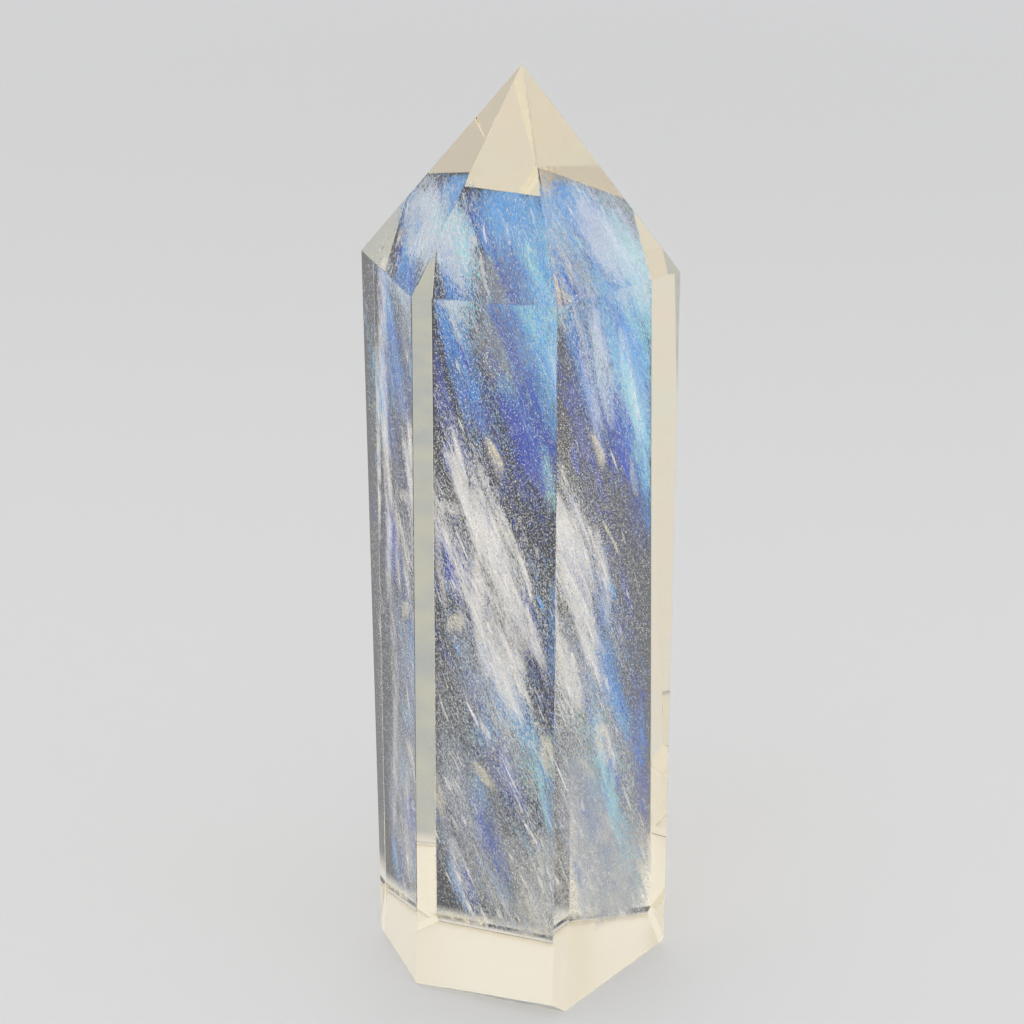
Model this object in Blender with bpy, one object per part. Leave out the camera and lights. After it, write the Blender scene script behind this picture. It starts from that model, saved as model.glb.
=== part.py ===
# Clear quartz obelisk: a six-sided polished point that stands on its flat ground base.
# It is one solid. Metres, +Z up, and the wide front face looks towards -Y.
# The origin is on the base, under the middle of the solid's box.
import math

import bmesh
import bpy
from mathutils import Matrix, Vector

NAME = "obelisk"
HEIGHT = 0.180
APEX_X, APEX_Y = -0.0012, -0.0003

# The side faces, anticlockwise from the narrow one at the front left. Each has the way it faces in degrees
# (0 is +X, 90 is +Y), its distance from the axis at the base, and its lean in degrees (inwards going up).
SIDE_FACES = {
    "front_left": (205.5, 0.0240, -0.2),
    "front": (249.4, 0.0214, -0.7),
    "front_right": (317.2, 0.0228, 0.4),
    "back_right": (32.6, 0.0247, 1.9),
    "back": (76.9, 0.0212, -0.3),
    "back_left": (141.8, 0.0220, -0.6),
}
# Height of the shoulder at the corner before each of those faces
SHOULDER_HEIGHTS = (0.1464, 0.1460, 0.1482, 0.1456, 0.1452, 0.1466)

# The uneven flat along the foot of the front face: where it starts on the two upright edges,
# and how far it runs along the foot of the next face
FRONT_FLAT_LEFT, FRONT_FLAT_RIGHT, FRONT_FLAT_RUN = 0.0010, 0.0042, 0.0042
# The narrow 45 degree flats along the feet of the other faces
FOOT_FLATS = {"front_left": 0.0006, "front_right": 0.0006, "back_right": 0.0012, "back": 0.0013, "back_left": 0.0012}
# The arris along each remaining edge, worn slightly round
ARRIS_WIDTH = 0.00035
ARRIS_STEPS = 2
# An edge shorter than this closes up to a point
NO_LENGTH = 1e-5

CRYSTAL_COLOUR = (0.93, 0.90, 0.80, 1.0)
CRYSTAL_ROUGHNESS = 0.03
QUARTZ_IOR = 1.544


def clear_scene():
    for old in list(bpy.data.objects):
        bpy.data.objects.remove(old, do_unlink=True)


def face_plane(name):
    """A point on the side face at the base, and its outward normal."""
    azimuth, distance, lean = SIDE_FACES[name]
    azimuth, lean = math.radians(azimuth), math.radians(lean)
    out = Vector((math.cos(azimuth), math.sin(azimuth), 0.0))
    return out * distance, out * math.cos(lean) + Vector((0.0, 0.0, math.sin(lean)))


def corner(index, height):
    """Where the upright edge before side face number index passes the given height."""
    names = list(SIDE_FACES)
    rows = [face_plane(names[index - 1]), face_plane(names[index % len(names)])]
    normals = Matrix([list(normal) for _, normal in rows] + [[0.0, 0.0, 1.0]])
    return normals.inverted() @ Vector([point.dot(normal) for point, normal in rows] + [height])


def grind(bm, point, normal):
    """Grinds away what lies outside the plane and closes the flat it leaves."""
    cut = bmesh.ops.bisect_plane(bm, geom=bm.verts[:] + bm.edges[:] + bm.faces[:], dist=NO_LENGTH / 100,
                                 plane_co=point, plane_no=normal, clear_outer=True)
    rim = [e for e in cut["geom_cut"] if isinstance(e, bmesh.types.BMEdge)]
    bmesh.ops.holes_fill(bm, edges=rim, sides=0)


def blank(bm):
    """The six-sided prism with its six facets drawn up to the tip."""
    count = len(SIDE_FACES)
    foot = bmesh.ops.create_circle(bm, cap_ends=True, segments=count, radius=HEIGHT)["verts"]
    for index, vert in enumerate(foot):
        vert.co = corner(index, 0.0)
    body = bmesh.ops.extrude_face_region(bm, geom=bm.faces[:])["geom"]
    shoulder = [v for v in body if isinstance(v, bmesh.types.BMVert)]
    # The new corners lie over the old ones, so each finds its number by its place.
    for vert in shoulder:
        index = min(range(count), key=lambda i: (corner(i, 0.0) - vert.co).length)
        vert.co = corner(index, SHOULDER_HEIGHTS[index])
    lid = [f for f in body if isinstance(f, bmesh.types.BMFace)]
    tip = bmesh.ops.extrude_face_region(bm, geom=lid)["geom"]
    bmesh.ops.delete(bm, geom=lid, context="FACES_ONLY")
    bmesh.ops.pointmerge(bm, verts=[v for v in tip if isinstance(v, bmesh.types.BMVert)],
                         merge_co=(APEX_X, APEX_Y, HEIGHT))
    bmesh.ops.recalc_face_normals(bm, faces=bm.faces[:])


def grind_foot(bm):
    names = list(SIDE_FACES)
    for name, width in FOOT_FLATS.items():
        point, normal = face_plane(name)
        grind(bm, point + Vector((0.0, 0.0, width)), normal.normalized() - Vector((0.0, 0.0, 1.0)))
    left = names.index("front")
    on_left, on_right = corner(left, FRONT_FLAT_LEFT), corner(left + 1, FRONT_FLAT_RIGHT)
    along = (corner(left + 2, 0.0) - corner(left + 1, 0.0)).normalized()
    on_foot = corner(left + 1, 0.0) + along * FRONT_FLAT_RUN
    normal = (on_right - on_left).cross(on_foot - on_left).normalized()
    grind(bm, on_left, -normal if normal.z > 0 else normal)


def crystal_material():
    material = bpy.data.materials.new("polished_quartz")
    material.use_nodes = True
    shader = material.node_tree.nodes["Principled BSDF"]
    shader.inputs["Base Color"].default_value = CRYSTAL_COLOUR
    shader.inputs["Roughness"].default_value = CRYSTAL_ROUGHNESS
    shader.inputs["Metallic"].default_value = 0.0
    shader.inputs["IOR"].default_value = QUARTZ_IOR
    shader.inputs["Transmission Weight"].default_value = 1.0
    return material


def make_obelisk(collection):
    bm = bmesh.new()
    blank(bm)
    grind_foot(bm)
    bmesh.ops.dissolve_limit(bm, angle_limit=math.radians(0.05), verts=bm.verts[:], edges=bm.edges[:])
    bmesh.ops.bevel(bm, geom=bm.edges[:], offset=ARRIS_WIDTH, offset_type="OFFSET", segments=ARRIS_STEPS,
                    profile=0.5, affect="EDGES", clamp_overlap=True)
    bmesh.ops.dissolve_degenerate(bm, dist=NO_LENGTH, edges=bm.edges[:])
    bmesh.ops.recalc_face_normals(bm, faces=bm.faces[:])

    lows = [min(v.co[axis] for v in bm.verts) for axis in range(3)]
    highs = [max(v.co[axis] for v in bm.verts) for axis in range(3)]
    to_origin = Vector((-(lows[0] + highs[0]) / 2, -(lows[1] + highs[1]) / 2, -lows[2]))
    bmesh.ops.translate(bm, verts=bm.verts[:], vec=to_origin)

    mesh = bpy.data.meshes.new(NAME)
    bm.to_mesh(mesh)
    bm.free()
    mesh.materials.append(crystal_material())
    obelisk = bpy.data.objects.new(NAME, mesh)
    collection.objects.link(obelisk)
    return obelisk


clear_scene()
parts = bpy.data.collections.new("clear_quartz_obelisk")
bpy.context.scene.collection.children.link(parts)
make_obelisk(parts)
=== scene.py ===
import bmesh
import bpy
import math
import numpy as np
from mathutils import Matrix, Vector


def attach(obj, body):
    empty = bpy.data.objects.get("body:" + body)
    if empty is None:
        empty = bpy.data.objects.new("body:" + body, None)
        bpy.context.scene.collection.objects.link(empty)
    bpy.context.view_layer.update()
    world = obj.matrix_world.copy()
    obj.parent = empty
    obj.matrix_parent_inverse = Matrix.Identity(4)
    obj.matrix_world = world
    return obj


# Looks of a clear quartz obelisk: the polished stone itself, and the silk, bands and dust inside it.
# Metres, +Z up. The wide front face looks towards -Y.

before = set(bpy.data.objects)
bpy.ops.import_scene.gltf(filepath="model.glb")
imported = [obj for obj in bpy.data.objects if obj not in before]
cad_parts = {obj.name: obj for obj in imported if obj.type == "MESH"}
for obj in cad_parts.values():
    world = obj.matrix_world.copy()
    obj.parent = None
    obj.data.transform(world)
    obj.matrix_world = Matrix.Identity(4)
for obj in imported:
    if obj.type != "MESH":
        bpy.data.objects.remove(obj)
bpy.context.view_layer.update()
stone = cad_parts["obelisk"]
mm = 0.001
print("frame loaded")


# Node trees are built through a bench. A Link wraps one socket, and arithmetic on it adds Math nodes.
class Link:
    def __init__(self, bench, socket):
        self.bench, self.socket = bench, socket

    def maths(self, operation, *values):
        return self.bench.add("ShaderNodeMath", {"operation": operation}, values)

    def __add__(self, other):
        return self.maths("ADD", self, other)

    def __radd__(self, other):
        return self.maths("ADD", other, self)

    def __sub__(self, other):
        return self.maths("SUBTRACT", self, other)

    def __rsub__(self, other):
        return self.maths("SUBTRACT", other, self)

    def __mul__(self, other):
        return self.maths("MULTIPLY", self, other)

    def __rmul__(self, other):
        return self.maths("MULTIPLY", other, self)

    def __gt__(self, other):
        return self.maths("GREATER_THAN", self, other)

    def __lt__(self, other):
        return self.maths("LESS_THAN", self, other)


class Bench:
    def __init__(self, tree):
        self.tree = tree

    # Adds a node: its settings first, then its sockets, by name or in order. Returns one output as a Link.
    def add(self, kind, settings=None, values=(), out=0):
        node = self.tree.nodes.new(kind)
        settings = dict(settings or {})
        stops = settings.pop("stops", None)
        for name, value in settings.items():
            setattr(node, name, value)
        if stops:
            ramp = node.color_ramp.elements
            while len(ramp) < len(stops):
                ramp.new(0.5)
            for element, (place, colour) in zip(ramp, stops):
                element.position, element.color = place, colour
        pairs = values.items() if isinstance(values, dict) else enumerate(values)
        for name, value in pairs:
            if isinstance(value, Link):
                self.tree.links.new(value.socket, node.inputs[name])
            else:
                node.inputs[name].default_value = value
        return Link(self, node.outputs[out]) if len(node.outputs) else node

    def mixColours(self, share, one, other):
        node = self.tree.nodes.new("ShaderNodeMix")
        node.data_type = "RGBA"
        for index, value in ((0, share), (6, one), (7, other)):
            if isinstance(value, Link):
                self.tree.links.new(value.socket, node.inputs[index])
            else:
                node.inputs[index].default_value = value
        return Link(self, node.outputs[2])


def newMaterial(name):
    material = bpy.data.materials.new(name)
    material.use_nodes = True
    material.node_tree.nodes.clear()
    return material, Bench(material.node_tree)


def colour(red, green, blue):
    return (red, green, blue, 1.0)


# The stone's flat faces, as outward normals and distances
def flatFaces(leastArea=20 * mm * mm):
    faces = [face for face in stone.data.polygons if face.area > leastArea]
    normals = np.array([face.normal[:] for face in faces])
    return normals, np.array([Vector(face.normal).dot(face.center) for face in faces])


faceNormals, faceDistances = flatFaces()


# Camera, at the photograph's viewing angle
view = {
    "eye": (-2.7 * mm, -338.6 * mm, 277.7 * mm),
    "pitchDown": 28.0,   # degrees
    "roll": 0.77,        # degrees
    "focal": 2124.4,     # in pixels of the picture
    "picture": 1024,     # pixels a side
}


def makeCamera():
    data = bpy.data.cameras.new("camera")
    data.sensor_fit = "HORIZONTAL"
    data.angle = 2 * math.atan(view["picture"] / 2 / view["focal"])
    data.clip_start, data.clip_end = 0.01, 50
    camera = bpy.data.objects.new("camera", data)
    turn = Matrix.Rotation(math.radians(90 - view["pitchDown"]), 4, "X")
    turn = turn @ Matrix.Rotation(math.radians(view["roll"]), 4, "Z")
    camera.matrix_world = Matrix.Translation(view["eye"]) @ turn
    bpy.context.scene.collection.objects.link(camera)
    bpy.context.scene.camera = camera


makeCamera()
print("camera set")


# Studio: a pale floor, a soft pale sky and two soft lamps. To light that came through the stone, the floor and sky show
# painted tones instead: painted dark where the stone is seen straight through, painted pale, grey and cream in its
# mirror zones, and a painted cream glow with painted shade under it
studio = {
    "floorSide": 16.0,
    "fadeStart": 0.25, "fadeEnd": 2.0,          # metres out, where the floor turns into the sky's own tone
    "floorDrop": 0.1 * mm,                      # air left under the stone, so that its base mirrors inside
    "floorColour": colour(0.60, 0.60, 0.60),
    "skyColour": colour(0.86, 0.865, 0.88),
    "skyStrength": 0.95,
    "paintedMirrorCream": colour(0.95, 0.90, 0.80),       # painted cream, shown in place of the sky in the stone's mirror zones
    "paintedFarCream": colour(0.87, 0.83, 0.74),       # painted cream after four mirror turns or more
    "paintedDarkThrough": colour(0.045, 0.050, 0.066),  # painted dark, shown straight through the stone on the floor behind it
    "paintedDarkRest": colour(0.13, 0.14, 0.165),    # and painted dark for all the rest, as other views show it
    "behindSpread": 3.0, "behindMargin": 30 * mm, "behindSoft": 60 * mm,    # how the painted dark on the floor behind it widens
    "turnedMargin": 10 * mm, "turnedDepth": 33 * mm, "turnedSpread": 0.25,  # where the floor stays painted dark after one mirror turn
    "paintedPaleTurn": colour(0.50, 0.52, 0.56),     # painted pale, shown after one mirror turn inside it
    "paintedGreyTurns": (colour(0.44, 0.47, 0.49), colour(0.53, 0.54, 0.49)),     # painted grey after two or three, in soft patches
    "paintedCream": (colour(0.72, 0.73, 0.69), colour(0.77, 0.71, 0.67)),    # painted cream after more, and as a painted glow under the stone
    "creamShade": colour(0.58, 0.545, 0.52),    # painted shade on that cream under the stone's right half
    "shadeStart": -2 * mm, "shadeEnd": 9 * mm,  # across the stone, where that painted shade comes in
    "patch": 16 * mm,                           # the size of those patches
    "footGlow": 3.2 * mm,                       # how far beyond the stone's sides the painted cream glow reaches
    "footSoft": 1.6 * mm,
}


# How light came here: has it passed through the stone, and how many mirror turns did it make
def throughStone(bench):
    path = bench.tree.nodes.new("ShaderNodeLightPath")
    passes, mirrors = Link(bench, path.outputs["Transmission Depth"]), Link(bench, path.outputs["Glossy Depth"])
    bounces = Link(bench, path.outputs["Diffuse Depth"])
    return (passes > 1.5) * (bounces < 0.5), mirrors


def makeSky():
    world = bpy.data.worlds.new("studio sky")
    world.use_nodes = True
    bench = Bench(world.node_tree)
    world.node_tree.nodes.clear()
    through, mirrors = throughStone(bench)
    # Light that came through the stone sees painted tones here: painted dark straight through, painted cream after
    # mirror turns
    cream = bench.mixColours(mirrors > 3.5, studio["paintedMirrorCream"], studio["paintedFarCream"])
    beyond = bench.mixColours(mirrors > 0.5, studio["paintedDarkRest"], cream)
    glow = bench.mixColours(through, studio["skyColour"], beyond)
    sky = bench.add("ShaderNodeBackground", {}, {"Color": glow, "Strength": studio["skyStrength"]})
    bench.add("ShaderNodeOutputWorld", {}, {"Surface": sky})
    bpy.context.scene.world = world


def makeFloor():
    material, bench = newMaterial("studio floor")
    # Light that came through the stone sees painted tones on the floor: painted dark, pale, grey and cream by its
    # mirror turns
    through, mirrors = throughStone(bench)
    pale = bench.add("ShaderNodeBsdfPrincipled", {}, {"Base Color": studio["floorColour"], "Roughness": 0.6})
    place = bench.add("ShaderNodeTexCoord", {}, {}, "Object")
    away = bench.add("ShaderNodeVectorMath", {"operation": "LENGTH"}, {0: place}, "Value")
    back = bench.add("ShaderNodeSeparateXYZ", {}, {0: place}, "Y")
    aside = bench.add("ShaderNodeSeparateXYZ", {}, {0: place}, "X")
    behind = bench.add("ShaderNodeMapRange", {}, {
        "Value": back * studio["behindSpread"] + studio["behindMargin"] - aside.maths("ABSOLUTE", aside),
        "From Min": 0.0, "From Max": studio["behindSoft"]})
    patches = bench.add("ShaderNodeTexNoise", {}, {"Vector": place, "Scale": 1 / studio["patch"], "Detail": 2.0})
    patches = bench.add("ShaderNodeMapRange", {}, {"Value": patches, "From Min": 0.35, "From Max": 0.65})
    grey, cream = [bench.mixColours(patches, *studio[tone]) for tone in ("paintedGreyTurns", "paintedCream")]
    mirrored = bench.mixColours(mirrors > 1.5, studio["paintedPaleTurn"], grey)
    within = (back > 0) * (back < aside * studio["turnedSpread"] + studio["turnedDepth"])
    onceTurned = (mirrors < 1.5) * within * (aside > -studio["turnedMargin"])
    turned = (mirrors > 0.5) * (1 - onceTurned)
    dark = bench.mixColours(behind.maths("MAXIMUM", behind, onceTurned), studio["paintedDarkRest"], studio["paintedDarkThrough"])
    beyond = bench.mixColours(turned, dark, mirrored)
    outside = -1.0
    for normal, distance in zip(faceNormals, faceDistances):
        if abs(normal[2]) < 0.2:
            reach = bench.add("ShaderNodeVectorMath", {"operation": "DOT_PRODUCT"}, {
                0: place, 1: tuple(normal)}, "Value") - distance
            outside = reach.maths("MAXIMUM", reach, outside)
    # A painted cream glow under the stone and just beyond its sides
    under = bench.add("ShaderNodeMapRange", {}, {
        "Value": outside, "From Min": studio["footGlow"] - studio["footSoft"],
        "From Max": studio["footGlow"] + studio["footSoft"], "To Min": 1.0, "To Max": 0.0})
    bright = under.maths("MAXIMUM", under, mirrors > 3.5)
    # Painted shade on that glow under the stone's right half
    shaded = bench.add("ShaderNodeMapRange", {}, {
        "Value": aside, "From Min": studio["shadeStart"], "From Max": studio["shadeEnd"]}) * (outside < 0)
    cream = bench.mixColours(shaded, cream, studio["creamShade"])
    beyond = bench.mixColours(bright, beyond, cream)
    glow = bench.add("ShaderNodeEmission", {}, {"Color": beyond, "Strength": 1.0})
    haze = bench.add("ShaderNodeEmission", {}, {"Color": studio["skyColour"], "Strength": studio["skyStrength"]})
    fade = bench.add("ShaderNodeMapRange", {"interpolation_type": "SMOOTHSTEP"}, {
        "Value": away, "From Min": studio["fadeStart"], "From Max": studio["fadeEnd"]})
    sweep = bench.add("ShaderNodeMixShader", {}, (fade, pale, haze))
    both = bench.add("ShaderNodeMixShader", {}, (through, sweep, glow))
    bench.add("ShaderNodeOutputMaterial", {}, {"Surface": both})
    half, low = studio["floorSide"] / 2, -studio["floorDrop"]
    mesh = bpy.data.meshes.new("floor")
    corners = [(-half, -half, low), (half, -half, low), (half, half, low), (-half, half, low)]
    mesh.from_pydata(corners, [], [(0, 1, 2, 3)])
    mesh.materials.append(material)
    floor = bpy.data.objects.new("floor", mesh)
    bpy.context.scene.collection.objects.link(floor)


def makeLamp(name, place, aim, side, power, tint):
    data = bpy.data.lights.new(name, "AREA")
    data.shape, data.size, data.energy, data.color = "SQUARE", side, power, tint
    lamp = bpy.data.objects.new(name, data)
    lamp.location = place
    lamp.rotation_euler = (Vector(aim) - Vector(place)).to_track_quat("-Z", "Y").to_euler()
    lamp.visible_transmission = False    # no lamp shows as a patch in the stone's mirror zones
    bpy.context.scene.collection.objects.link(lamp)


makeSky()
makeFloor()
makeLamp("key", (-0.45, -0.35, 1.15), (0, 0, 0.1), 0.5, 5.0, (1.0, 0.97, 0.92))
makeLamp("fill", (0.8, -0.3, 0.7), (0, 0, 0.1), 0.7, 2.5, (0.95, 0.97, 1.0))
scene = bpy.context.scene
scene.view_settings.view_transform = "Standard"
scene.cycles.max_bounces = 14
scene.cycles.glossy_bounces = 10
scene.cycles.transmission_bounces = 12
scene.cycles.adaptive_threshold = 0.1
scene.cycles.diffuse_bounces = 1
scene.cycles.transparent_max_bounces = 48
print("studio made")


# The polished stone
quartz = {
    "ior": 1.544,
    "absorb": colour(0.98, 0.92, 0.74),
    "absorbDensity": 6.0,      # per metre
    "polish": 0.006,           # roughness of a polished face
    "ground": 0.30,            # roughness of the ground base
}


def makeQuartz():
    material, bench = newMaterial("polished quartz")
    place = bench.add("ShaderNodeTexCoord", {}, {}, "Object")
    height = bench.add("ShaderNodeSeparateXYZ", {}, {0: place}, "Z")
    onBase = height < 0.02 * mm
    wear = bench.add("ShaderNodeTexNoise", {}, {"Vector": place, "Scale": 90.0, "Detail": 3.0})
    roughness = quartz["polish"] * (0.6 + 0.8 * wear) + onBase * quartz["ground"]
    ripple = bench.add("ShaderNodeTexNoise", {}, {"Vector": place, "Scale": 40.0, "Detail": 1.0})
    dent = bench.add("ShaderNodeBump", {}, {"Height": ripple, "Strength": 0.008, "Distance": 0.0005})
    shell = bench.add("ShaderNodeBsdfPrincipled", {}, {
        "Base Color": colour(1, 1, 1), "Roughness": roughness, "IOR": quartz["ior"],
        "Transmission Weight": 1.0, "Normal": dent})
    lampRay = bench.add("ShaderNodeLightPath", {}, {}, "Is Shadow Ray")
    clear = bench.add("ShaderNodeBsdfTransparent", {}, {"Color": colour(0.92, 0.91, 0.88)})
    skin = bench.add("ShaderNodeMixShader", {}, (lampRay, shell, clear))
    body = bench.add("ShaderNodeVolumeAbsorption", {}, {
        "Color": quartz["absorb"], "Density": quartz["absorbDensity"]})
    bench.add("ShaderNodeOutputMaterial", {}, {"Surface": skin, "Volume": body})
    return material


stone.material_slots[0].material = makeQuartz()
print("stone finished")


def roomInside(points):
    return (faceDistances - points @ faceNormals.T).min(axis=1)


# What is inside the stone keeps to its heart and to a wedge at the left, so that the two long edges stay calm.
# Each plane: a normal and how far the silk may go along it.
edges = {
    "heart": (((-1, 0.125, 0), 13.9 * mm), ((0.943, 0.332, 0.041), 22.0 * mm)),
    "wedge": (((1, -0.125, 0), -18.3 * mm), ((0, 0.2, 1), 145 * mm)),
    "crown": (((-1, 0.125, 0), 19 * mm), ((0.943, 0.332, 0.041), 22.0 * mm), ((0, -0.34, -1), -145 * mm)),
}

# The tip and the foot stay calm too. Each face shows a slice of the stone, and in that slice the silk stops at a plane:
# the slice's own sides, then the plane
slices = {
    "tipFront": (((-1, 0.13, 0), 8.3 * mm), ((1, -0.13, 0), 3.3 * mm), ((0.15, 0.455, 1), 156.45 * mm)),
    "tipLeft": (((1, -0.436, 0), -6.5 * mm), ((0.22, 0.526, 1), 158.05 * mm)),
    "tipRight": (((-1, -0.32, 0), 3.0 * mm), ((0.198, 0.604, 1), 160.05 * mm)),
    "footFront": (((-1, 0.146, 0), 13.8 * mm), ((1, -0.178, 0), 11.4 * mm), ((-0.1, -0.43, -1), -9.45 * mm)),
    "footLeft": (((1, -0.657, 0), -13.1 * mm), ((-0.083, -0.464, -1), -10.45 * mm)),
    "footRight": (((-1, -0.4, 0), 3.0 * mm), ((-0.15, -0.543, -1), -12.1 * mm)),
}


def roomInside(points):
    return (faceDistances - points @ faceNormals.T).min(axis=1)


def planeRoom(points, plane):
    return plane[1] - points @ np.array(plane[0])


def heartRoom(points):
    rooms = [np.min([planeRoom(points, plane) for plane in planes], axis=0) for planes in edges.values()]
    room = np.max(rooms, axis=0)
    for *sides, limit in slices.values():
        beside = np.max([-planeRoom(points, side) for side in sides], axis=0)
        room = np.minimum(room, np.maximum(beside, planeRoom(points, limit)))
    return room


# Smooth random values on a lattice, from 0 to 1
def lattice(cells, seed):
    corner = np.floor(cells).astype(np.int64)
    part = cells - corner
    part = part * part * (3 - 2 * part)
    total = np.zeros(len(cells))
    for step in range(8):
        shift = np.array([step & 1, step >> 1 & 1, step >> 2 & 1])
        key = (corner + shift) @ np.array([73856093, 19349663, 83492791]) + seed * 2654435761
        key = (key ^ (key >> 13)) * 1274126177 & 0xFFFFFFFF
        value = ((key ^ (key >> 16)) & 0xFFFF) / 0xFFFF
        total += value * np.where(shift, part, 1 - part).prod(axis=1)
    return total


# The grain of the stone: silk runs from the upper left to the lower right, and more steeply at the left
grain = {
    "middle": np.array([0.36, 0.10, -0.93]),
    "left": np.array([0.16, 0.05, -0.99]),
    "leftEdge": -24 * mm, "leftEnd": -8 * mm,
    "sway": 0.16,             # how far the grain bends from place to place
    "swayCell": 22 * mm,
}


def unit(vectors):
    return vectors / np.linalg.norm(vectors, axis=-1, keepdims=True)


def grainAt(points):
    share = np.clip((points[:, :1] - grain["leftEdge"]) / (grain["leftEnd"] - grain["leftEdge"]), 0, 1)
    aim = grain["left"] * (1 - share) + grain["middle"] * share
    bend = np.stack([lattice(points / grain["swayCell"], seed) - 0.5 for seed in (11, 12, 13)], axis=1)
    return unit(aim + grain["sway"] * 2 * bend)


along = unit(grain["middle"])
across = unit(np.cross(along, (0, 1, 0)))
inward = np.cross(across, along)
sightFall = -0.32             # how much a sight line drops inside the stone for each metre it goes back


# Scatters points in bands, then thins them to strands along the grain
def strew(silk):
    rng = np.random.default_rng(silk["seed"])
    total = sum(band[-1] for band in silk["bands"])
    clouds = []
    for x, y, z, length, width, depth, share in silk["bands"]:
        count = int(silk["count"] * silk["spare"] * share / total)
        spread = rng.normal(size=(count, 3)) * 0.5
        back = spread[:, 2:] * depth
        cloud = spread[:, :1] * length * along + spread[:, 1:2] * width * across
        clouds.append(np.array([x, y, z]) + cloud + back * np.array([0, 1, sightFall]))
    points = np.concatenate(clouds) * mm
    aims = grainAt(points)
    reach = aims * silk["length"] * silk["longest"] / 2
    room = np.minimum(roomInside(points + reach), roomInside(points - reach))
    kept = (room > silk["margin"]) & (heartRoom(points) > 0)
    points, aims = points[kept], aims[kept]
    turned = np.stack([points @ across, points @ inward, points @ along], axis=1)
    coarse, fine = silk["strand"]
    weight = 0.6 * lattice(turned / np.array(coarse), silk["seed"] + 1)
    weight += 0.4 * lattice(turned / np.array(fine), silk["seed"] + 2)
    weight = np.clip(weight - silk["gap"], 0.001, None) ** silk["contrast"]
    chosen = rng.choice(len(points), min(silk["count"], len(points) // 2), replace=False, p=weight / weight.sum())
    return points[chosen], aims[chosen]


# The tree that sets one four-sided sliver on each point, turned along the point's own aim
def sliverTree():
    tree = bpy.data.node_groups.new("slivers along the grain", "GeometryNodeTree")
    for name, kind in (("Points", "NodeSocketGeometry"), ("Length", "NodeSocketFloat"), ("Width", "NodeSocketFloat"),
                       ("Longest", "NodeSocketFloat"), ("Scatter", "NodeSocketFloat"), ("Seed", "NodeSocketInt"),
                       ("Finish", "NodeSocketMaterial")):
        tree.interface.new_socket(name, in_out="INPUT", socket_type=kind)
    tree.interface.new_socket("Slivers", in_out="OUTPUT", socket_type="NodeSocketGeometry")
    bench = Bench(tree)
    given = tree.nodes.new("NodeGroupInput")
    wish = {socket.name: Link(bench, socket) for socket in given.outputs if socket.name}
    aim = bench.add("GeometryNodeInputNamedAttribute", {"data_type": "FLOAT_VECTOR"}, {"Name": "aim"})
    stray = bench.add("FunctionNodeRandomValue", {"data_type": "FLOAT_VECTOR"}, {
        0: (-1.0, -1.0, -1.0), 1: (1.0, 1.0, 1.0), "Seed": wish["Seed"]})
    stray = bench.add("ShaderNodeVectorMath", {"operation": "SCALE"}, {0: stray, "Scale": wish["Scatter"]})
    aim = bench.add("ShaderNodeVectorMath", {"operation": "ADD"}, {0: aim, 1: stray})
    turn = bench.add("FunctionNodeAlignRotationToVector", {"axis": "Z"}, {"Vector": aim})
    longer = bench.add("FunctionNodeRandomValue", {"data_type": "FLOAT"}, {
        2: 0.35, 3: wish["Longest"], "Seed": wish["Seed"] + 1}, 1)
    wider = bench.add("FunctionNodeRandomValue", {"data_type": "FLOAT"}, {2: 0.6, 3: 1.3, "Seed": wish["Seed"] + 2}, 1)
    girth = wider * wish["Width"]
    size = bench.add("ShaderNodeCombineXYZ", {}, (girth, girth, longer * wish["Length"]))
    sliver = bench.add("GeometryNodeMeshCone", {"fill_type": "NGON"}, {
        "Vertices": 3, "Side Segments": 1, "Fill Segments": 1, "Radius Top": 0.0, "Radius Bottom": 0.6, "Depth": 1.0})
    strewn = bench.add("GeometryNodeInstanceOnPoints", {}, {
        "Points": wish["Points"], "Instance": sliver, "Rotation": turn, "Scale": size})
    solid = bench.add("GeometryNodeRealizeInstances", {}, {"Geometry": strewn})
    finished = bench.add("GeometryNodeSetMaterial", {}, {"Geometry": solid, "Material": wish["Finish"]})
    result = tree.nodes.new("NodeGroupOutput")
    tree.links.new(finished.socket, result.inputs[0])
    return tree


strewing = sliverTree()


def layIn(name, silk, material):
    points, aims = strew(silk)
    mesh = bpy.data.meshes.new(name + " points")
    mesh.from_pydata(points.tolist(), [], [])
    mesh.attributes.new("aim", "FLOAT_VECTOR", "POINT").data.foreach_set("vector", aims.ravel())
    piece = bpy.data.objects.new(name, mesh)
    bpy.context.scene.collection.objects.link(piece)
    modifier = piece.modifiers.new("slivers", "NODES")
    modifier.node_group = strewing
    wishes = {"Length": silk["length"], "Width": silk["width"], "Longest": silk["longest"],
              "Scatter": silk["scatter"], "Seed": silk["seed"], "Finish": material}
    for item in strewing.interface.items_tree:
        if item.in_out == "INPUT" and item.name in wishes:
            modifier[item.identifier] = wishes[item.name]
    graph = bpy.context.evaluated_depsgraph_get()
    solid = bpy.data.meshes.new_from_object(piece.evaluated_get(graph))
    piece.modifiers.clear()
    piece.data = solid
    solid.name = name
    if not solid.materials:
        solid.materials.append(material)
    # After a mirror turn inside nothing of it shows, so that the strips along the edges stay calm
    piece.visible_glossy = piece.visible_diffuse = piece.visible_shadow = False
    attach(piece, "root")
    print(name, len(solid.polygons), "triangles")
    return piece


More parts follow.
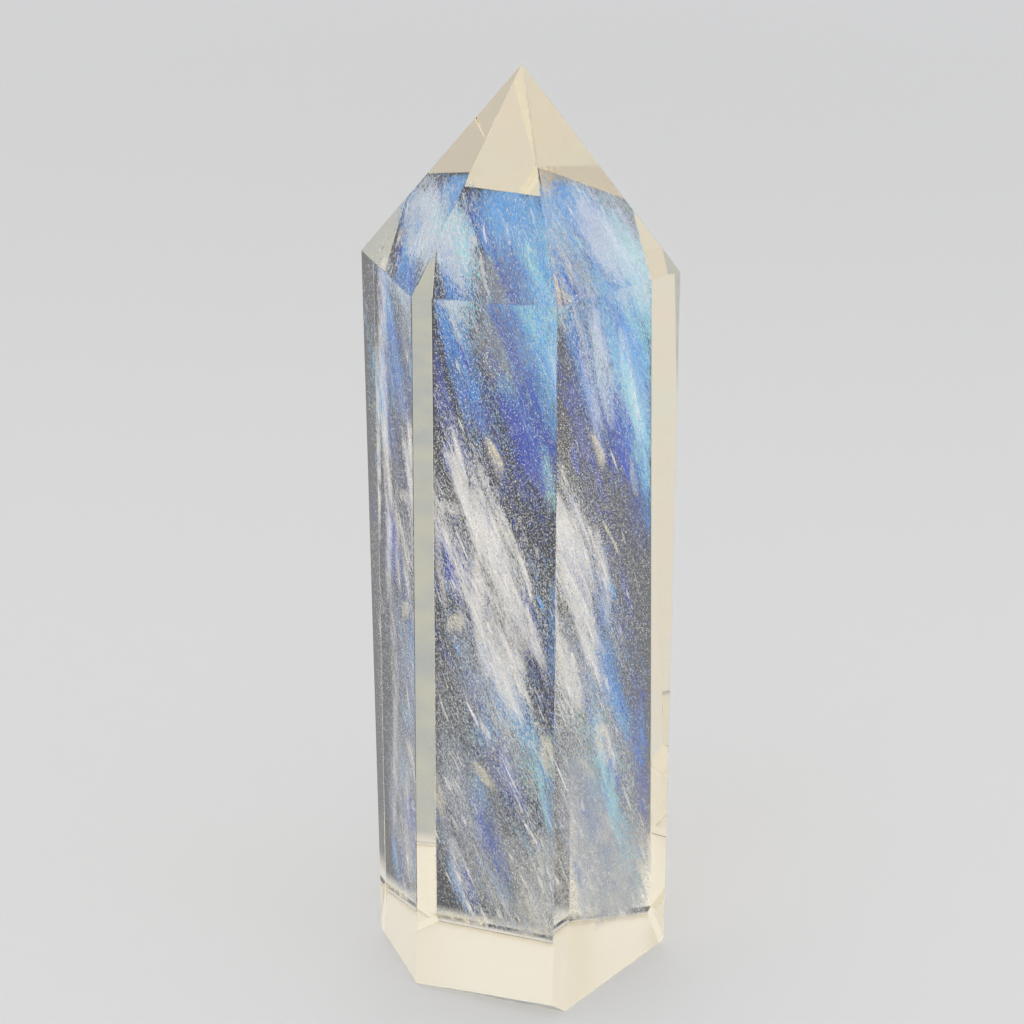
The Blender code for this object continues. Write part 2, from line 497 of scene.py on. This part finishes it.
# A silk's finish: two tints blended by soft noise, and a glow that stands for light scattered within
def silkFinish(name, one, other, cell, glow, rough=0.5):
    material, bench = newMaterial(name)
    place = bench.add("ShaderNodeTexCoord", {}, {}, "Object")
    drift = bench.add("ShaderNodeTexNoise", {}, {"Vector": place, "Scale": 1 / cell, "Detail": 2.0})
    share = bench.add("ShaderNodeMapRange", {}, {"Value": drift, "From Min": 0.35, "From Max": 0.65})
    tint = bench.mixColours(share, one, other)
    grit = bench.add("ShaderNodeTexNoise", {}, {"Vector": place, "Scale": 2500.0, "Detail": 1.0})
    surface = bench.add("ShaderNodeBsdfPrincipled", {}, {
        "Base Color": tint, "Roughness": rough * (0.6 + 0.8 * grit), "Specular IOR Level": 0.2,
        "Emission Color": tint, "Emission Strength": glow})
    bench.add("ShaderNodeOutputMaterial", {}, {"Surface": surface})
    return material


common = {"longest": 1.6, "margin": 0.2 * mm, "spare": 8}
fineStrand = ((1.6 * mm, 1.6 * mm, 14 * mm), (0.5 * mm, 0.5 * mm, 5 * mm))
wideStrand = ((3.0 * mm, 3.0 * mm, 20 * mm), (0.8 * mm, 0.8 * mm, 7 * mm))
grit = ((4.0 * mm, 4.0 * mm, 12 * mm), (0.8 * mm, 0.8 * mm, 1.6 * mm))

# Each band: its middle x, y, z, its length along the grain, its width, its depth, all in mm, and its share
silverDust = dict(common, seed=31, count=38000, length=0.22 * mm, width=0.12 * mm, scatter=0.9, strand=grit,
                  gap=0.2, contrast=1.0, bands=[
                      (0, 10, 85, 150, 60, 36, 1), (-1, 14, 92, 46, 20, 16, 0.2), (-3, 14, 40, 60, 20, 18, 0.3),
                      (-25.5, 3, 85, 150, 5, 8, 0.025)])
# Glint dust: tiny pale specks, and their stronger glow is a painted sparkle
glintDust = dict(common, seed=37, count=7000, length=0.2 * mm, width=0.13 * mm, scatter=0.9, strand=grit,
                 gap=0.2, contrast=1.5, bands=[
                     (0, 6, 85, 150, 60, 30, 1), (-1, 10, 95, 50, 20, 16, 0.8), (-3, 10, 50, 60, 20, 18, 0.5)])
greySilk = dict(common, seed=47, count=20000, length=0.5 * mm, width=0.09 * mm, scatter=0.5, strand=fineStrand,
                gap=0.36, contrast=2.0, bands=[
                    (0, 8, 60, 120, 50, 40, 1), (1, 18, 129, 14, 7, 5, 0.3), (9, 2, 28, 44, 20, 24, 0.5), (16, 3, 96, 40, 6, 12, 0.12),
                    (-21, 2, 80, 140, 9, 12, 0.22), (0, 8, 20, 30, 30, 30, 0.3)])
whiteSilk = dict(common, seed=53, count=38000, length=0.65 * mm, width=0.085 * mm, scatter=0.2, strand=wideStrand,
                 gap=0.44, contrast=3.5, bands=[
                     (-8.8, 4, 110, 20, 2.0, 5, 0.7), (-6.1, 5, 101, 16, 3, 5, 1.4), (-3.2, 4.6, 95, 16, 5, 7, 1.5),
                     (0.4, 1.7, 84, 26, 7, 10, 1.1), (2, 1.4, 75, 14, 5, 9, 0.7), (-1.3, -1, 69, 26, 10, 12, 0.7),
                     (-5, 1, 82, 34, 3, 8, 0.6), (-13, 8, 100, 60, 4, 12, 0.3), (-20.5, 2, 120, 50, 3, 8, 0.6),
                     (-20.5, 2, 70, 90, 2.5, 8, 0.2), (-8, 10, 24, 34, 6, 12, 0.4), (8, 2, 34, 50, 12, 22, 0.9),
                     (12, 4, 14, 16, 16, 24, 0.8), (-14, 5, 148, 14, 8, 12, 0.5), (-25, 3, 120, 50, 2, 6, 0.08),
                     (4, 4, 150, 10, 34, 24, 0.4), (0, 8, 85, 150, 60, 40, 0.7)])
lilacSilk = dict(common, seed=59, count=22000, length=0.65 * mm, width=0.09 * mm, scatter=0.2, strand=wideStrand,
                 gap=0.36, contrast=2.0, bands=[
                     (9, -5, 150, 13, 3, 10, 0.6), (13, -2, 147, 14, 3, 10, 0.7), (17, 1, 143, 13, 3, 10, 0.4),
                     (-17, 2, 149, 8, 5, 10, 0.7), (5, 8, 149, 8, 12, 10, 0.4), (-14, 4, 149, 13, 2.5, 14, 0.5),
                     (-10, 8, 146, 13, 2.5, 12, 0.4),
                     (10, -13, 132, 24, 4, 8, 0.6), (0, 3, 154, 4, 34, 26, 0.2),
                     (12, 4, 124, 26, 5, 12, 0.5), (-6, 18, 20, 40, 10, 12, 0.35), (0, 6, 148, 10, 34, 24, 0.1),
                     (-3, 12, 55, 60, 16, 16, 0.35)])
azureSilk = dict(common, seed=61, count=27000, length=0.7 * mm, width=0.09 * mm, scatter=0.16, strand=wideStrand,
                 gap=0.40, contrast=3.0, bands=[
                     (6, 18, 128, 22, 6, 5, 1.4), (2.2, 17, 137, 22, 6, 8, 2.0), (-1, 4, 152, 8, 12, 26, 1.2), (-6, 21, 130, 26, 4, 5, 0.7),
                     (10.5, 4.5, 126, 30, 6, 8, 1.1), (16.6, 6, 100, 28, 3, 8, 0.55), (2, 18, 59, 24, 7, 6, 0.8),
                     (6, 18, 50, 24, 6, 6, 0.5), (-6, 22, 12, 20, 3, 4, 0.5), (1.4, 20, 14, 16, 3, 4, 0.5),
                     (7.7, 19, 24, 14, 3, 4, 0.3), (-2, 20, 34, 12, 3, 4, 0.4), (-24, 1, 124, 22, 3, 8, 0.16),
                     (10, -2, 76, 30, 5, 12, 0.25), (8, 0, 40, 34, 5, 12, 0.5), (-7.5, 21, 124, 26, 3, 5, 0.6), (-18, 1, 149, 8, 4, 10, 0.3),
                     (0, 10, 85, 150, 60, 36, 0.6)])
cobaltSilk = dict(common, seed=71, count=25000, length=0.7 * mm, width=0.09 * mm, scatter=0.2, strand=wideStrand,
                  gap=0.40, contrast=3.0, bands=[
                      (6, 18, 113, 22, 7, 6, 1.1), (8, 17, 104, 18, 5, 6, 0.6), (-8.5, 22, 118, 36, 3.5, 5, 1.3),
                      (-4, 20, 116, 18, 4, 5, 0.6), (3, 17, 127, 16, 3, 4, 0.4), (-1, 18, 137, 16, 3, 6, 0.6),
                      (7.5, 18, 76, 28, 5, 6, 0.6), (-7, 21, 82, 24, 4, 5, 0.6), (3.4, 20, 40, 22, 4, 5, 0.5),
                      (-1, 20, 24, 18, 4, 5, 0.5), (17, 6, 46, 40, 5, 8, 0.4), (14, 2, 104, 30, 5, 10, 0.08),
                      (-19, 2, 80, 60, 3, 8, 0.05), (0, 10, 85, 150, 60, 36, 0.4)])
aquaSilk = dict(common, seed=83, count=12000, length=0.9 * mm, width=0.09 * mm, scatter=0.1, strand=fineStrand,
                gap=0.38, contrast=2.6, bands=[
                    (7.5, 19, 128.5, 18, 1.8, 3, 1.4), (10, 18.6, 133, 12, 2.5, 3, 0.7), (13.6, 3, 117, 26, 2.2, 6, 1.4),
                    (2.7, 19.7, 120, 9, 4, 3, 0.5), (10.2, 18.8, 103.7, 14, 1.6, 3, 0.6), (8, 2.5, 44, 32, 2.2, 8, 0.25),
                    (15.5, -6, 36, 28, 2.4, 6, 0.4), (-1, 21, 47, 6, 3, 3, 0.3), (6.5, 18, 43, 20, 6, 6, 0.35),
                    (-10, 3, 147, 12, 3, 8, 0.5), (16, 0, 144, 14, 5, 12, 0.9), (-23.5, 1, 122, 20, 2, 6, 0.2),
                    (-25.5, 3, 120, 26, 2, 5, 0.15)])

for name, silk, one, other, cell, glow in (
        ("silver", silverDust, colour(0.66, 0.64, 0.62), colour(0.46, 0.48, 0.56), 9, 0.12),
        ("glint", glintDust, colour(0.90, 0.89, 0.86), colour(0.80, 0.84, 0.92), 9, 0.45),
        ("grey", greySilk, colour(0.32, 0.33, 0.35), colour(0.22, 0.25, 0.33), 12, 0.1),
        ("white", whiteSilk, colour(0.80, 0.78, 0.76), colour(0.64, 0.65, 0.68), 8, 0.2),
        ("lilac", lilacSilk, colour(0.52, 0.56, 0.78), colour(0.60, 0.72, 0.80), 8, 0.25),
        ("azure", azureSilk, colour(0.10, 0.32, 0.78), colour(0.22, 0.50, 0.84), 10, 0.2),
        ("cobalt", cobaltSilk, colour(0.05, 0.09, 0.48), colour(0.12, 0.17, 0.56), 9, 0.2),
        ("aqua", aquaSilk, colour(0.28, 0.64, 0.84), colour(0.42, 0.74, 0.72), 9, 0.25)):
    suffix = " dust" if "Dust" in name or name in ("silver", "glint") else " silk"
    layIn(name + suffix.replace(" ", "_"), silk, silkFinish(name + suffix, one, other, cell * mm, glow))
print("silk laid in")


# Veils: thin, flat spindles laid in the stone, whose edges fade out.
# Each: middle x, y, z, length and width in mm, tilt and turn in degrees, and how dense it is
veilPlaces = {
    "azure": [
        (-5.4, 22.1, 125.8, 24, 2.5, 16, 0, 0.6), (8.1, 18, 130.5, 16, 6.1, 25, 0, 0.8),
        (5.7, 20, 114.8, 12, 2.1, 35, 0, 0.45), (2.1, 17.8, 59.8, 18, 6.1, 20, 0, 0.5),
        (6.3, 17.8, 51.8, 16, 3.6, 15, 0, 0.4), (-2.1, 20.8, 33.1, 9, 2.9, 10, 0, 0.7),
        (1.4, 20.5, 12.9, 12, 1.6, 30, 0, 0.65), (-5.9, 22.2, 10.7, 14, 2.3, 16, 0, 0.65),
        (3, 19, 140.5, 15, 8, 35, 0, 0.8), (-8, 21.5, 138, 14, 5, 20, 0, 0.5),
        (16.6, 6, 99, 24, 2.2, 8, 50, 0.45), (10.5, 4.5, 128, 26, 6, 20, 50, 0.65),
        (18.5, 2, 52, 12, 2, 5, 50, 0.3), (10, -2, 76, 24, 4, 10, 45, 0.25),
        (-21.5, 1, 126, 16, 2.0, 4, -40, 0.45), (2.2, 19.5, 136, 22, 6, 31, 0, 0.95), (1, 8, 148, 10, 7, 31, 0, 0.5),
        (-9, 8, 146, 12, 2.5, 12, -30, 0.4), (9.5, 2, 41, 26, 2.6, 12, 45, 0.4),
        (-7.6, 21, 125, 20, 1.8, 14, 0, 0.7),
    ],
    "white": [
        (-6.9, 20.9, 129.6, 16, 0.9, 14, 0, 0.45), (4.7, 20.3, 118.9, 5, 0.5, 18, 0, 0.6),
        (-8.5, 3.8, 110.9, 12, 0.9, 14, 0, 0.8), (-6.1, 5.3, 101.5, 12, 2.5, 32, 0, 0.95),
        (-3.2, 4.6, 95.7, 12, 3.6, 35, 0, 0.9), (0.4, 1.7, 83.9, 22, 3.2, 22, 0, 0.4),
        (2, 1.4, 74.8, 10, 2.6, 20, 0, 0.4), (-9.6, 6.1, 100.4, 5, 2.5, 75, 0, 0.5),
        (-4.9, 0.9, 82.4, 27, 1.8, 6, 0, 0.5), (-1.3, -1, 69.8, 18, 5.4, 20, 0, 0.5),
        (-7.8, 9.8, 19.1, 14, 2.1, 12, 0, 0.35), (-10, 20, 141, 12, 3, 18, 0, 0.35),
        (12.9, 3.5, 121, 12, 0.9, 13, 50, 0.7), (11, -10, 92, 18, 2, 8, 45, 0.4),
        (-21, 2, 130, 34, 3, 3, -40, 0.6), (-24.2, 1.5, 112, 36, 1.3, 3, -40, 0.7), (-20.5, 3, 104, 44, 3, 4, -40, 0.6),
        (-20.5, 0, 62, 60, 2.4, 3, -40, 0.35), (-13, 8, 102, 40, 2, 6, -30, 0.5), (-12, 4, 149, 12, 5, 14, -30, 0.5),
        (-5, 3.2, 98, 16, 2, 30, 0, 0.8), (-1, 2.4, 90, 18, 2.2, 26, 0, 0.8), (4, 1, 79, 16, 2.4, 24, 0, 0.6),
    ],
    "cobalt": [
        (-9.2, 22.5, 131.4, 12, 1.8, 5, 0, 0.6), (5.9, 19, 113.9, 15, 4.6, 40, 0, 0.8),
        (8, 17.5, 106.5, 10, 3.9, 25, 0, 0.7), (-8.2, 22.2, 105.1, 7, 1.8, 12, 0, 0.8),
        (-3.9, 20.2, 116.6, 12, 2.5, 20, 0, 0.5), (3.1, 17.6, 127.8, 10, 1.4, 30, 0, 0.5),
        (-7.3, 21, 82.1, 12, 2.9, 8, 0, 0.6), (7.5, 18.1, 76.5, 12, 2.1, 15, 0, 0.55),
        (3.4, 20, 41.6, 10, 1.8, 10, 0, 0.6), (5.4, 18, 35.6, 10, 2.5, 20, 0, 0.5),
        (-1, 20.6, 23.4, 12, 1.8, 10, 0, 0.6), (-3.9, 20.2, 9.7, 10, 2.1, 12, 0, 0.5),
        (-3.5, 21, 141, 12, 5, 25, 0, 0.6), (14, 2, 104, 26, 5, 10, 50, 0.15),
        (17, 6, 46, 32, 4, 5, 50, 0.22), (-1, 18.5, 136, 18, 2.4, 30, 0, 0.7),
    ],
    "haze": [
        (1, 18.6, 129.3, 15, 7.1, 12, 0, 0.75), (6.3, 17.8, 43.6, 18, 5.7, 20, 0, 0.5),
        (-7.9, 16, 40.7, 18, 4.3, 10, 0, 0.35), (12, -12, 28, 50, 9, 6, 45, 0.75),
        (16.5, -7, 20, 30, 9, 4, 45, 0.7), (12, 4, 16, 26, 14, 4, 45, 0.6),
        (6, 18.5, 12, 22, 12, 4, 0, 0.6), (13, 17.6, 14, 26, 7, 4, 0, 0.7), (0, 20.5, 20, 40, 10, 8, 0, 0.4),
        (-7, 19, 34, 50, 8, 8, 0, 0.25), (-16, 2, 148, 10, 5, 10, -30, 0.6),
    ],
    "aqua": [
        (7.7, 17.5, 130, 16, 1.2, 28, 0, 1.0), (9.9, 18.6, 132.9, 8, 1.8, 30, 0, 0.5),
        (2.7, 19.7, 120, 7, 3.6, 30, 0, 0.5), (10.2, 18.8, 103.7, 12, 1.6, 6, 0, 0.6),
        (-1, 21.1, 46.6, 5, 1.8, 30, 0, 0.5), (7.7, 19.4, 23.1, 9, 1.2, 30, 0, 0.7),
        (8, 18.5, 139, 12, 2, 33, 0, 0.6), (13.6, 3, 117.5, 24, 2, 13, 50, 0.95),
        (12.2, 4, 125, 16, 3, 20, 50, 0.5), (8, 2.5, 44, 30, 1.2, 9, 40, 0.45),
        (15.5, -6, 36, 26, 1.8, 9, 45, 0.4),
    ],
    "lilac": [
        (9, -5, 150, 15, 3, 22, 45, 0.6), (13, -3, 147, 16, 2.6, 20, 45, 0.6), (16.5, 0, 143, 14, 2.4, 18, 45, 0.6),
        (-14, 4, 148, 13, 3, 12, -30, 0.6),
        (-8, 12, 143, 9, 3, 14, 0, 0.4), (12, 3, 124, 20, 3, 14, 45, 0.5), (10.5, -14, 134, 22, 2.6, 12, 45, 0.55),
        (8, -12, 126, 20, 2, 14, 45, 0.45), (-6, 19, 24, 30, 8, 12, 0, 0.25),
        (-2, 16, 56, 34, 8, 16, 0, 0.25),
    ],
    "cream": [
        (-0.5, 16, 108, 8, 1.8, 18, 0, 1.0), (-8.7, 8, 76, 3, 3.6, 70, 0, 0.6),
        (3.4, 16, 90, 9, 0.8, 28, 0, 1.0), (-2, 16, 40, 7, 2.2, 40, 0, 0.75),
        (8.5, 0, 52, 9, 3.4, 12, 45, 0.8), (-13, 2, 40, 10, 2, 10, -30, 0.5), (12.5, 6, 105, 8, 1.2, 12, 45, 0.7),
        (13, -8, 22, 34, 9, 4, 45, 0.45), (9, 4, 14, 24, 12, 4, 45, 0.4),
        (1, 22.3, 1.6, 30, 2.6, 90, 0, 0.9), (11, 19.8, 1.6, 9, 2.4, 90, 0, 0.7), (-6, 23.6, 1.6, 9, 2.4, 90, 0, 0.7),
    ],
}
veil = {
    "large": (20, 12), "small": (8, 6),       # steps along and sides around
    "lengthSpare": 1.3, "widthSpare": 1.5,    # room for the faded edges
    "thickness": 0.25 * mm,
    "bend": 0.035,                            # sideways sway, as a share of the length
    "margin": 0.1 * mm,
    "edgeFade": 0.2 * mm,                     # a veil dies out this near the heart's limits
}


def placedVeils(places):
    rows = []
    for x, y, z, length, width, tilt, turn, density in places:
        lean, yaw = math.radians(tilt), math.radians(turn)
        down = unit(np.array([math.sin(lean), 0.1, -math.cos(lean)]))
        facing = np.array([0.227, 0.974, 0]) * math.cos(yaw) + np.array([-0.974, 0.227, 0]) * math.sin(yaw)
        rows.append((np.array([x, y, z]) * mm, down, facing, length * mm, width * mm, density))
    return rows


# Wisps are small veils scattered in a silk's own bands
wisp = {"shortest": 2.5 * mm, "longest": 9 * mm, "thinnest": 0.18 * mm, "widest": 0.75 * mm, "turn": 65, "spare": 60}


def wisps(silk, count, density):
    rng = np.random.default_rng(silk["seed"] + 500)
    points, aims = strew(dict(silk, count=count, spare=wisp["spare"], length=wisp["longest"], longest=1.0, gap=0.46))
    rows = []
    for point, aim in zip(points, aims):
        yaw = math.radians(rng.uniform(-wisp["turn"], wisp["turn"]))
        facing = np.array([0.227, 0.974, 0]) * math.cos(yaw) + np.array([-0.974, 0.227, 0]) * math.sin(yaw)
        length = wisp["shortest"] + (wisp["longest"] - wisp["shortest"]) * rng.random() ** 2
        width = wisp["thinnest"] + (wisp["widest"] - wisp["thinnest"]) * rng.random() ** 2
        rows.append((point, aim, facing, length, width, density * rng.uniform(0.5, 1.2)))
    return rows


def makeVeils(name, rows, material, seed):
    rng = np.random.default_rng(seed)
    points, faces, shares = [], [], []
    for place, down, facing, length, width, density in rows:
        steps, sides = veil["large"] if length > wisp["longest"] else veil["small"]
        side = unit(np.cross(down, facing))
        face = np.cross(side, down)
        start, sway = len(points), rng.uniform(-1, 1, 2) * veil["bend"] * length
        for step in range(steps + 1):
            part = 2 * step / steps - 1
            full = max(1 - part * part, 0.0)
            middle = place + down * part * length * veil["lengthSpare"] / 2
            middle = middle + side * sway[0] * math.sin(2.6 * part + 1) + face * sway[1] * math.cos(2.2 * part)
            for spoke in range(sides if 0 < step < steps else 1):
                angle = 2 * math.pi * spoke / sides
                half = width * veil["widthSpare"] / 2 * full ** 0.6
                points.append(middle + side * half * math.cos(angle)
                              + face * min(veil["thickness"], width) / 2 * full * math.sin(angle))
                shares.append(density * full ** 0.5 * math.sin(angle) ** 2 if 0 < step < steps else 0.0)
        last = len(points) - 1
        for step in range(1, steps - 1):
            row = start + 1 + (step - 1) * sides
            for spoke in range(sides):
                after = (spoke + 1) % sides
                faces.append((row + spoke, row + after, row + sides + after, row + sides + spoke))
        for spoke in range(sides):
            after = (spoke + 1) % sides
            faces.append((start, start + 1 + after, start + 1 + spoke))
            faces.append((last, last - sides + spoke, last - sides + after))
    points = np.array(points)
    room = np.minimum(heartRoom(points), roomInside(points))
    shares = np.array(shares) * np.clip(room / veil["edgeFade"], 0, 1)
    for normal, distance in list(zip(faceNormals, faceDistances)) * 3:    # a veil's faded ends are held inside too
        over = np.clip(points @ normal - distance + veil["margin"], 0, None)
        points -= over[:, None] * normal
    mesh = bpy.data.meshes.new(name)
    mesh.from_pydata(points.tolist(), [], faces)
    mesh.attributes.new("share", "FLOAT", "POINT").data.foreach_set("value", shares)
    mesh.polygons.foreach_set("use_smooth", [True] * len(faces))
    mesh.materials.append(material)
    shape = bmesh.new()
    shape.from_mesh(mesh)
    bmesh.ops.recalc_face_normals(shape, faces=shape.faces)
    shape.to_mesh(mesh)
    shape.free()
    piece = bpy.data.objects.new(name, mesh)
    bpy.context.scene.collection.objects.link(piece)
    piece.visible_glossy = piece.visible_diffuse = piece.visible_shadow = False
    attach(piece, "root")
    print(name, len(mesh.polygons), "faces")


# A veil's finish: fibres along the grain and fine grit, both only in how much of it there is, and a painted glow that
# stands for light scattered within
def veilFinish(name, one, other, cell, glow):
    material, bench = newMaterial(name)
    place = bench.add("ShaderNodeTexCoord", {}, {}, "Object")
    share = bench.add("ShaderNodeAttribute", {"attribute_name": "share"}, {}, "Fac")
    leant = bench.add("ShaderNodeMapping", {}, {"Vector": place, "Rotation": (0.0, math.radians(21), 0.0)})
    drawn = bench.add("ShaderNodeVectorMath", {"operation": "MULTIPLY"}, {0: leant, 1: (1.0, 1.0, 0.13)})
    fibre = bench.add("ShaderNodeTexNoise", {}, {"Vector": drawn, "Scale": 700.0, "Detail": 4.0, "Roughness": 0.65})
    grain = bench.add("ShaderNodeTexNoise", {}, {"Vector": place, "Scale": 2600.0, "Detail": 1.0})
    drift = bench.add("ShaderNodeTexNoise", {}, {"Vector": drawn, "Scale": 1 / cell, "Detail": 2.0})
    fill = bench.add("ShaderNodeMapRange", {}, {"Value": fibre, "From Min": 0.42, "From Max": 0.57})
    grit = bench.add("ShaderNodeMapRange", {}, {"Value": grain, "From Min": 0.35, "From Max": 0.65})
    tint = bench.mixColours(bench.add("ShaderNodeMapRange", {}, {
        "Value": drift, "From Min": 0.38, "From Max": 0.62}), one, other)
    opacity = share * (0.25 + 0.75 * fill) * (0.45 + 0.75 * grit)
    surface = bench.add("ShaderNodeBsdfPrincipled", {}, {
        "Base Color": tint, "Roughness": 0.4 + 0.3 * grain, "Specular IOR Level": 0.1,
        "Alpha": opacity, "Emission Color": tint, "Emission Strength": glow})
    bench.add("ShaderNodeOutputMaterial", {}, {"Surface": surface})
    return material


for index, (kind, one, other, glow, silk, count, density) in enumerate((
        ("white", colour(0.86, 0.82, 0.79), colour(0.76, 0.75, 0.77), 0.40, whiteSilk, 420, 0.9),
        ("cream", colour(0.80, 0.74, 0.58), colour(0.74, 0.70, 0.56), 0.35, whiteSilk, 0, 0.9),
        ("lilac", colour(0.54, 0.58, 0.82), colour(0.64, 0.76, 0.84), 0.35, lilacSilk, 120, 0.7),
        ("azure", colour(0.08, 0.32, 0.82), colour(0.22, 0.48, 0.86), 0.3, azureSilk, 260, 0.85),
        ("cobalt", colour(0.04, 0.08, 0.54), colour(0.10, 0.15, 0.62), 0.3, cobaltSilk, 240, 0.85),
        ("aqua", colour(0.30, 0.63, 0.85), colour(0.48, 0.77, 0.75), 0.35, aquaSilk, 70, 0.9),
        ("haze", colour(0.50, 0.51, 0.51), colour(0.38, 0.43, 0.52), 0.2, greySilk, 0, 0.5))):
    rows = placedVeils(veilPlaces[kind]) + (wisps(silk, count, density) if count else [])
    makeVeils(kind + "_veils", rows, veilFinish(kind + " veil", one, other, 9 * mm, glow), 200 + index)
print("veils laid in")
